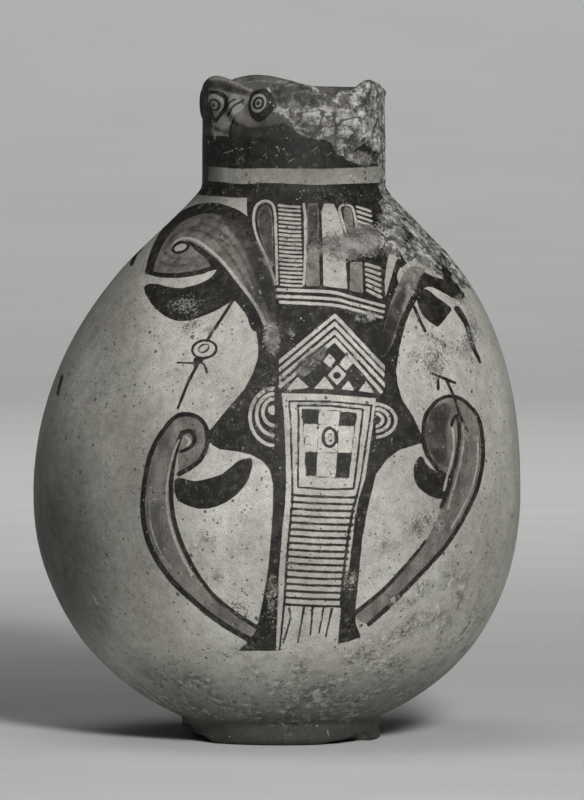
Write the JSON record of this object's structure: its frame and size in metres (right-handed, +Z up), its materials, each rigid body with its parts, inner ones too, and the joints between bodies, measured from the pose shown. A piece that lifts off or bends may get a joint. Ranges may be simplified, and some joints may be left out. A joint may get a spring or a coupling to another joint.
{
  "type": "painted jug",
  "caption": "Painted earthenware jug, an egg-shaped hollow body on a low ring foot, with a wide straight neck, a rim rising into rounded ears and small animal faces between them.",
  "frame": {"origin": "on the ground under the middle of the belly", "axes": "+Z up, -Y towards the painted front, +X to the front's right, the side the neck leans to"},
  "size_m": [0.2356, 0.2356, 0.3204],
  "materials": {
    "earthenware": "slipped, painted and burnished, worn"
  },
  "bodies": {
    "root": {"jug": "earthenware"}
  },
  "joints": []
}
